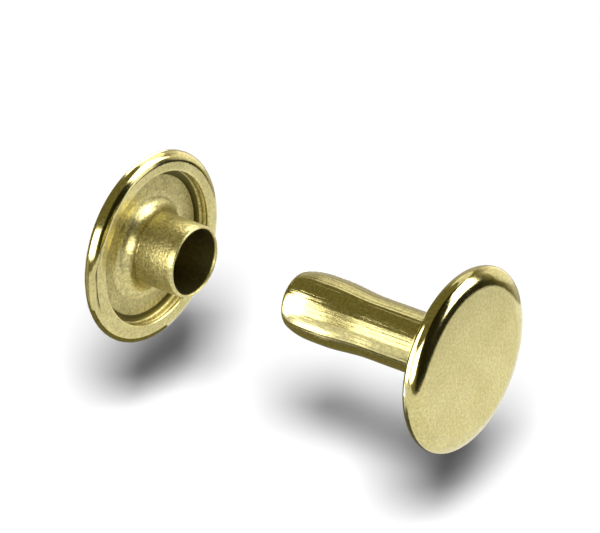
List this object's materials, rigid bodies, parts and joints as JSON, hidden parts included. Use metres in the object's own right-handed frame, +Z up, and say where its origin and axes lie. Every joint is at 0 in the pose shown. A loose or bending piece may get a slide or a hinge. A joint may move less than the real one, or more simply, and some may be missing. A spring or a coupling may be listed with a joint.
{
  "type": "double-cap rivet",
  "caption": "Double-cap leather rivet in two press-together halves: a capped hollow post with a bulbed nose, and a capped eyelet socket that slides over it.",
  "frame": {"origin": "centre of the post cap's outer face", "axes": "+X out of the post cap's outer face along the rivet's axis, with the socket half at -X; +Z up"},
  "size_m": [0.0191, 0.0094, 0.0094],
  "materials": {
    "cap_brass": "satin faces, polished rims",
    "drawn_brass": "satin with fine draw lines"
  },
  "bodies": {
    "post_half": {"post_cap": "cap_brass", "post": "drawn_brass"},
    "socket_half": {"socket_cap": "cap_brass", "socket": "drawn_brass"}
  },
  "joints": [
    {"name": "socket_slide", "type": "slide", "parent": "post_half", "child": "socket_half", "axis": [1, 0, 0], "range_m": [0, 0.00895]}
  ]
}
